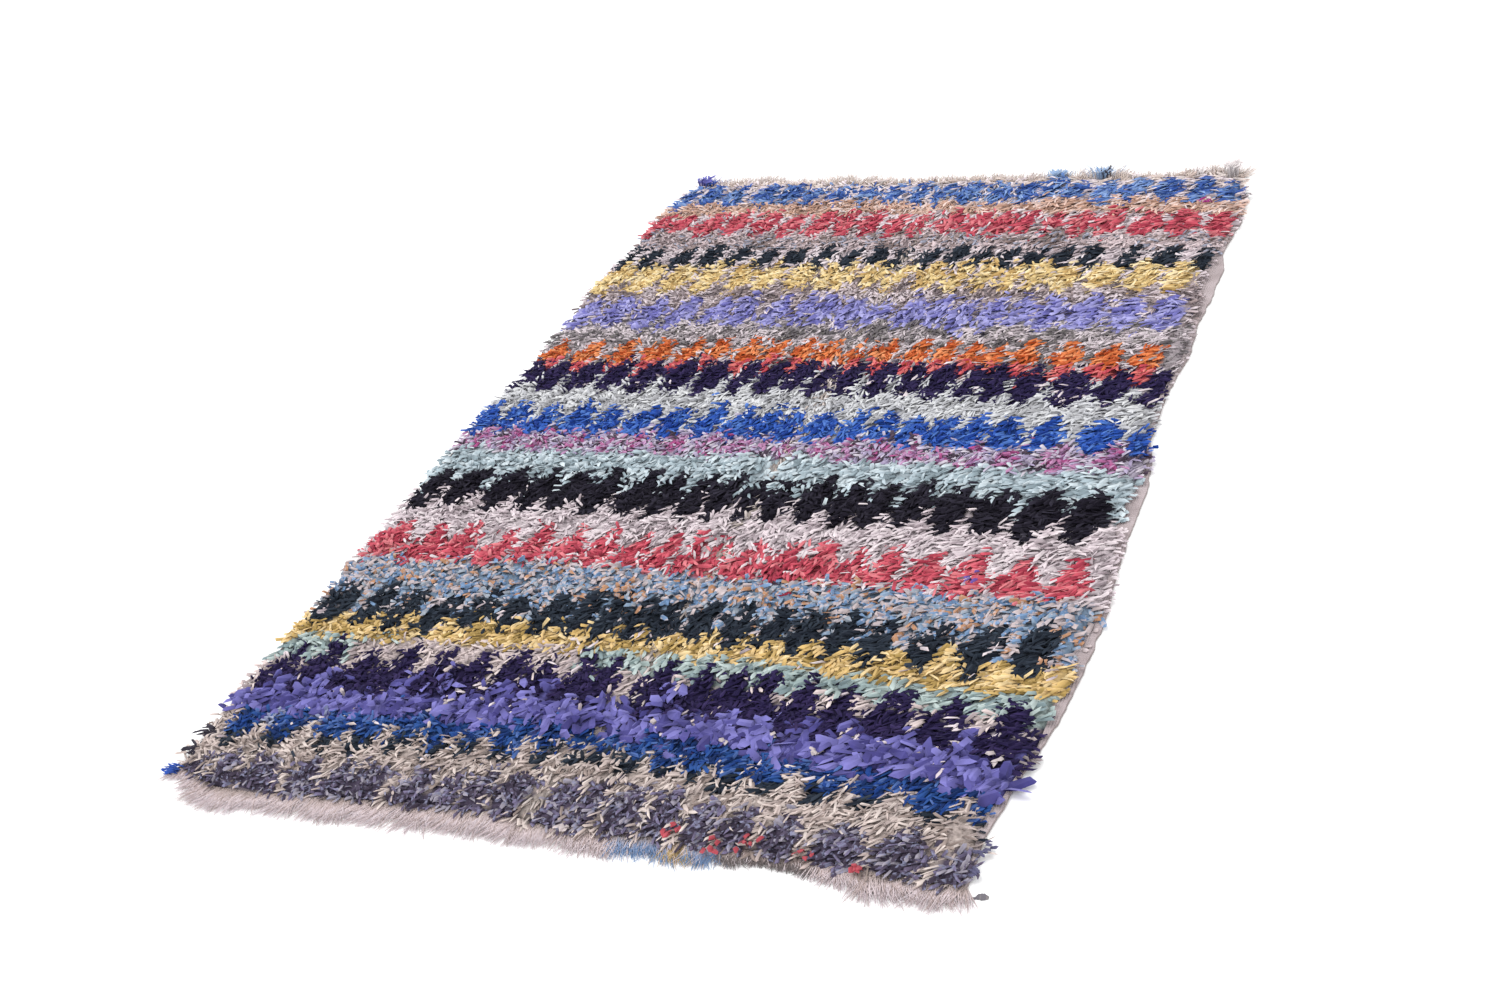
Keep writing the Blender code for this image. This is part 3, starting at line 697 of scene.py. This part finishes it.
# How much the strips of a mottled cloth differ from their neighbours
MIXED = {"marl": 0.16, "brown_marl": 0.16, "mist": 0.20, "sky_print": 0.30, "heather": 0.30,
         "periwinkle_jersey": 0.35}
MIXED_ELSE = 0.22
# Patches of like colour in a cloth: their size, and how much they differ
PATCHES = {"marl": (0.020, 0.85), "brown_marl": (0.020, 0.85), "mist": (0.020, 0.85)}
PATCHES_ELSE = (0.014, 0.6)
NARROW = 0.0075           # up to this mean width a cloth's strips are knotted closer
for number, name in enumerate(CLOTH_NAMES):
    cloth = CLOTHS[name]
    draws = np.random.default_rng(500 + number)
    wide, long = np.mean(cloth["wide"]) / 1000.0, np.mean(cloth["long"]) / 1000.0
    x, y = knots(COARSE_PITCH if wide > NARROW else FINE_PITCH, draws)
    bare = read_table(BARE, y, 1)
    to_rim = read_table(SIDES, y, 2) - bare - x
    loose = (to_rim < OUTWARD_REACH) & (bare < 0.006) & (y < OUTWARD_TO)
    near_rim = 1.0 - smooth(to_rim, 0.0, TURNED_REACH)
    turned = draws.random(x.size) < np.where(loose, OUTWARD, AGAINST + TURNED_MORE * near_rim)
    lie = lie_of_pile(x, y) + np.pi * turned
    shown = SHOWN * long * read_table(HABIT, x, 2)
    astray = MISPLACED * draws.normal(0.0, 1.0, (2, x.size)) * (draws.random(x.size) < MISPLACED_SHARE)
    chart = cloth_of_knots(x + shown * np.cos(lie) + astray[0], y + shown * np.sin(lie) + astray[1])
    kept = chart == number
    x, y, lie = x[kept], y[kept], lie[kept]
    cut = 1.0 - (TURNED_SHORTER * near_rim * turned * ~loose)[kept]
    count = x.size
    top = pile_top(x, y)
    root_z = GROUND_THICK + (top - GROUND_THICK) * draws.uniform(*ROOTS, count)
    crest = GROUND_THICK + (top - GROUND_THICK) * draws.uniform(*CRESTS, count)
    heading = lie + np.radians(cloth["fan"]) * read_table(HABIT, x, 1) * draws.normal(0.0, 1.0, count)
    length = draws.uniform(*cloth["long"], count) / 1000.0 * read_table(HABIT, x, 2) * cut
    width = draws.uniform(*cloth["wide"], count) / 1000.0
    points = torn_strips(draws, np.stack((x, y, root_z), axis=1), crest, heading, length, width)
    patch, depth = PATCHES.get(name, PATCHES_ELSE)
    rag = np.clip(0.5 + depth * wander(x, y, patch, 700 + number)
                  + MIXED.get(name, MIXED_ELSE) * draws.normal(0.0, 1.0, count), 0.0, 0.999)
    look = rag_material("torn_" + name, cloth["rags"], cloth.get("fleck"), cloth.get("nap", 0.08))
    piece = strips_object("pile_" + name, points, rag, look)
    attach(piece, "root")


def strip_mesh(name, paths, sides, lifts, material, smooth_faces, attributes):
    """Closed three-sided strands from their middle lines, half widths and ridges.

    Each array has a row for each strand and a place for each section along it.
    """
    count, sections = paths.shape[:2]
    points = np.stack((paths - sides, paths + sides, paths + lifts), axis=2)
    base = np.arange(count)[:, None] * sections * 3
    quads = [(3 * s + a, 3 * s + 3 + a, 3 * s + 3 + b, 3 * s + b)
             for s in range(sections - 1) for a, b in TURNS]
    last = 3 * sections - 3
    corners = np.concatenate(([0, 1, 2], np.ravel(quads), [last + 2, last + 1, last]))
    sizes = np.tile([3] + [4] * len(quads) + [3], count)
    spread = {label: np.repeat(values, sections * 3 // (values.size // count))
              for label, values in attributes.items()}
    return joined_mesh(name, points.reshape(-1, 3), (base + corners).ravel(), sizes, material,
                       smooth_faces, spread)


# The cut warp ends at the two ends: soft two-ply cotton and wool, untwisted and fluffy, lying
# on the floor. Right of the near end's middle some are dyed light blue and yellow, and beside
# them the ends are worn down to a short dark edge.
YARN_WIDE = (0.0009, 0.0020)
YARN_ROOT = 0.004         # how far each strand starts inside the ground
YARN_TUFTS = 0.36         # how much longer or shorter the strands of a tuft are
YARN_ASTRAY = 0.42        # spread of their lean
# Lean of the strands. Columns: x, sideways run for each metre of length
NEAR_LEAN = np.array(((-0.75, -0.55), (-0.50, -0.45), (-0.05, -0.10), (0.10, 0.05), (0.75, 0.20)))
FAR_LEAN = np.array(((-0.75, -0.25), (0.75, -0.10)))
# Dyes along the ends. Columns: left x, right x, share of the ramp of dyes, part of the strands
NEAR_DYES = (
    (0.150, 0.236, 0.65, 0.75), (0.236, 0.274, 0.79, 0.8), (0.274, 0.332, 0.65, 0.75),
    (0.332, 0.495, 0.93, 0.85),
)
FAR_DYES = (
    (0.255, 0.325, 0.65, 0.7), (0.375, 0.425, 0.65, 0.7), (-0.735, -0.665, 0.79, 0.7),
    (0.402, 0.408, 0.93, 1.0),
)
UNDYED = 0.57             # share of the ramp that the undyed yarns take
NEAR_STRANDS = 5200
FAR_STRANDS = 3200
NEAR_RISE = 0.0060        # how high the strands' ends lie at most
FAR_RISE = 0.022


def yarn_strands(draws, ends_column, length_column, outward, leans, count, rise):
    """Middle lines, half widths and lifts of warp ends that lie on the floor."""
    left, right = SIDES[0 if outward < 0 else -1, 1:]
    x = draws.uniform(left, right, count)
    tuft = 1.0 + YARN_TUFTS * wander(x, x * 0.0, 0.018, 70 + outward)
    tuft += 0.15 * wander(x, x * 0.0, 0.006, 74)
    length = read_table(ENDS, x, length_column) * draws.uniform(0.50, 1.0, count) * tuft
    lean = read_table(leans, x, 1) + 0.45 * wander(x, x * 0.0, 0.02, 77)
    lean += draws.normal(0.0, YARN_ASTRAY, count)
    shares = np.linspace(0.0, 1.0, 3)
    paths = np.zeros((count, 3, 3))
    sway = draws.normal(0.0, 0.0025, (count, 3)) * shares
    paths[:, :, 0] = x[:, None] + lean[:, None] * length[:, None] * shares + sway
    root_y = read_table(ENDS, x, ends_column) - outward * YARN_ROOT
    paths[:, :, 1] = root_y[:, None] + outward * (length[:, None] + YARN_ROOT) * shares
    root_z = draws.uniform(0.0020, 0.0055, count)
    lie_z = draws.uniform(0.0010, rise, count)
    paths[:, :, 2] = root_z[:, None] * (1.0 - shares) + lie_z[:, None] * shares
    half = draws.uniform(*YARN_WIDE, count)[:, None] * np.array((0.6, 0.6, 0.2))
    sides = np.zeros_like(paths)
    sides[:, :, 0] = half * -outward
    lifts = np.zeros_like(paths)
    lifts[:, :, 2] = half * 1.1
    return x, paths, sides, lifts


def yarn_material(name, dyes, root_hex):
    """Loose two-ply yarn, matt and hairy: darker where it leaves the cloth, as painted shade under the
    pile's edge, paler at the tip.
    """
    material, tree = new_material(name)
    dyed = dyed_by_draw(tree, dyes)
    reach = add_node(tree, "Attribute", attribute_name="reach")
    # painted shade: the root colour fills the strand where it leaves the cloth under the pile's edge
    from_root = mapped(tree, reach.outputs["Fac"], 0.5, 0.88, 0.10, 1.0)
    painted_root_shade = add_node(tree, "Mix", {"A": linear(root_hex)}, {"Factor": from_root, "B": dyed},
                     data_type="RGBA")
    plies = grain(tree, "TexWave", {"Scale": 120.0, "Distortion": 3.0},
                  bands_direction="DIAGONAL")
    bump = add_node(tree, "Bump", {"Strength": 0.5, "Distance": 0.0008}, {"Height": plies})
    shaded = add_node(tree, "Mix", {"Factor": 0.12, "B": linear("807078")},
                      {"A": painted_root_shade.outputs["Result"]}, data_type="RGBA", blend_type="MULTIPLY")
    matt_surface(tree, {"Roughness": 0.95, "Specular IOR Level": 0.15, "Sheen Weight": 0.2,
                        "Sheen Roughness": 0.6},
                 {"Base Color": shaded.outputs["Result"], "Normal": bump.outputs["Normal"]})
    return material


def dyed_share(draws, x, dyes):
    """Each strand's place on the ramp of dyes: undyed, but for the stretches in the table."""
    share = draws.random(x.size) * UNDYED
    for left, right, dye, part in dyes:
        dyed = (x > left) & (x < right) & (draws.random(x.size) < part)
        share = np.where(dyed, dye, share)
    return share


STRAND_REACH = np.linspace(0.5, 1.0, 3)
draws = np.random.default_rng(77)
x, paths, sides, lifts = yarn_strands(draws, 1, 2, -1, NEAR_LEAN, NEAR_STRANDS, NEAR_RISE)
yarn = yarn_material("near_warp_yarn", ("ece0e6", "e0d0d4", "c2b0ae", "e6d8dc", "7c9cc8", "ccb078",
                                        "7c7272"), "b09c94")
looks = {"rag": dyed_share(draws, x, NEAR_DYES), "reach": np.tile(STRAND_REACH, (x.size, 1))}
near_yarn = strip_mesh("near_fringe_yarn", paths, sides, lifts, yarn, True, looks)
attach(near_yarn, "root")
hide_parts("near_fringe")

# One grey yarn was left long at the near right corner: it lies beside the fringe, with a knot
# at its end.
TAIL_FROM = (0.718, -1.233)
TAIL_TO = (0.772, -1.226)
TAIL_HALF = (0.0022, 0.0018, 0.0023, 0.0017, 0.0022, 0.0018, 0.0021, 0.0018, 0.0036, 0.0052,
             0.0046, 0.0020)  # half widths along it: the wide ones are the knot
share = np.linspace(0.0, 1.0, len(TAIL_HALF))
plies = 3
draws = np.random.default_rng(78)
paths = np.zeros((plies, share.size, 3))
paths[:, :, 0] = TAIL_FROM[0] + (TAIL_TO[0] - TAIL_FROM[0]) * share
paths[:, :, 1] = TAIL_FROM[1] + (TAIL_TO[1] - TAIL_FROM[1]) * share + 0.002 * np.sin(share * 9.0)
paths[:, :, 1] += draws.normal(0.0, 0.0010, (plies, share.size))
paths[:, :, 2] = 0.0010
half = np.array(TAIL_HALF) * draws.uniform(0.85, 1.15, (plies, share.size))
sides = np.stack((half * 0.0, half, half * 0.0), axis=-1)
lifts = np.stack((half * 0.0, half * 0.0, half * 1.6), axis=-1)
tail = strip_mesh("corner_tail", paths, sides, lifts,
                  yarn_material("grey_tail_yarn", ("8a8486", "76727a"), "8a8284"), False,
                  {"rag": draws.random(plies), "reach": np.full((plies, share.size), 1.0)})
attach(tail, "root")

x, paths, sides, lifts = yarn_strands(draws, 3, 4, 1, FAR_LEAN, FAR_STRANDS, FAR_RISE)
yarn = yarn_material("far_warp_yarn", ("ece0d8", "e0d0c6", "ece0e2", "dccdc4", "92acd0", "6068b4",
                                       "383848"), "dccbc0")
looks = {"rag": dyed_share(draws, x, FAR_DYES), "reach": np.tile(STRAND_REACH, (x.size, 1))}
far_yarn = strip_mesh("far_fringe_yarn", paths, sides, lifts, yarn, True, looks)
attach(far_yarn, "root")
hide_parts("far_fringe")

# Odd scraps that the weaver used up: single strips and tufts of other dyes at the corners, in
# the bands and along the bare selvedge, knotted as the rest are.
SCRAP_DYES = ("2c50a8", "6a68b8", "9ab4d8", "b04a55", "6a50a0", "a02c80", "c8bcbc", "34303c",
              "8a8082", "5c5a78", "f2eaea")
# Columns: x, y, number, dye, heading in degrees, spread, length in mm, width in mm, rise in mm
SCRAPS = (
    (-0.752, -1.212, 24, 0, -165, 22, 30, 4, 8), (-0.710, 1.180, 26, 1, 100, 40, 40, 6, 26),
    (-0.690, 1.175, 10, 0, 80, 40, 34, 6, 22), (0.290, 1.180, 34, 2, 95, 30, 44, 4, 24),
    (0.400, 1.182, 26, 2, 90, 24, 46, 4, 26), (0.408, 1.185, 6, 7, 95, 10, 52, 4, 30),
    (0.645, 1.185, 26, 10, 92, 22, 42, 4, 24), (0.722, 1.188, 70, 10, 84, 16, 58, 4, 34),
    (0.700, 1.050, 5, 5, -150, 30, 40, 5, 24), (0.550, -0.490, 5, 4, -140, 20, 30, 8, 24),
    (0.245, -1.185, 6, 3, -100, 40, 22, 10, 18), (0.320, -1.212, 5, 3, -110, 40, 22, 10, 14),
    (0.375, -1.192, 6, 3, -120, 40, 22, 10, 18), (0.470, -1.200, 5, 3, -100, 40, 20, 10, 16),
    (0.565, -1.205, 5, 3, -120, 40, 20, 10, 14), (0.060, -1.212, 5, 6, -120, 40, 26, 10, 15),
    (0.180, -1.185, 5, 6, -100, 40, 24, 10, 18), (0.120, -0.965, 2, 6, -140, 40, 24, 11, 24),
    (0.250, -0.975, 3, 6, -130, 40, 24, 10, 24), (0.330, -0.960, 2, 6, -120, 40, 24, 11, 24),
    (0.420, -0.985, 3, 6, -140, 40, 24, 10, 24), (0.715, -0.940, 4, 6, -150, 40, 26, 9, 20),
    (-0.300, -0.965, 2, 6, -150, 40, 24, 10, 24), (-0.540, -0.985, 2, 6, -150, 40, 24, 10, 24),
    (-0.080, -1.015, 2, 6, -150, 40, 26, 8, 22), (0.780, -0.500, 5, 7, 175, 12, 32, 4, 10),
    (0.772, -0.543, 4, 7, 178, 12, 30, 4, 10), (0.756, -0.928, 6, 8, -8, 16, 24, 7, 8),
    (0.765, 1.090, 6, 8, -5, 22, 24, 5, 8), (0.735, -1.140, 8, 9, 10, 24, 20, 8, 10),
    (0.732, -1.185, 8, 9, -25, 24, 20, 8, 10), (0.610, -0.360, 4, 7, -140, 30, 28, 8, 22),
    (0.700, -0.355, 4, 7, -150, 30, 28, 8, 22), (0.200, 0.450, 4, 7, -130, 30, 26, 7, 22),
    (0.320, 0.380, 4, 7, -130, 30, 26, 7, 22), (-0.745, -1.110, 12, 7, -160, 30, 34, 8, 14),
    (-0.740, -1.150, 10, 7, -150, 30, 32, 8, 12),
)
SCRAP_SPREAD = 0.007      # how far a scrap's strips stand from its middle
draws = np.random.default_rng(91)
rows = np.array(SCRAPS, dtype=float)
rows = np.repeat(rows, rows[:, 2].astype(int), axis=0)
count = len(rows)
x = rows[:, 0] + draws.normal(0.0, SCRAP_SPREAD, count)
y = rows[:, 1] + draws.normal(0.0, SCRAP_SPREAD, count)
root = np.stack((x, y, np.full(count, GROUND_THICK)), axis=1)
points = torn_strips(draws, root, GROUND_THICK + rows[:, 8] / 1000.0 * draws.uniform(0.7, 1.1, count),
                     np.radians(rows[:, 4] + rows[:, 5] * draws.normal(0.0, 0.7, count)),
                     rows[:, 6] / 1000.0 * draws.uniform(0.75, 1.15, count),
                     rows[:, 7] / 1000.0 * draws.uniform(0.7, 1.1, count))
scraps = strips_object("odd_scraps", points, (rows[:, 3] + 0.5) / len(SCRAP_DYES),
                       rag_material("torn_odd_scraps", SCRAP_DYES))
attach(scraps, "root")
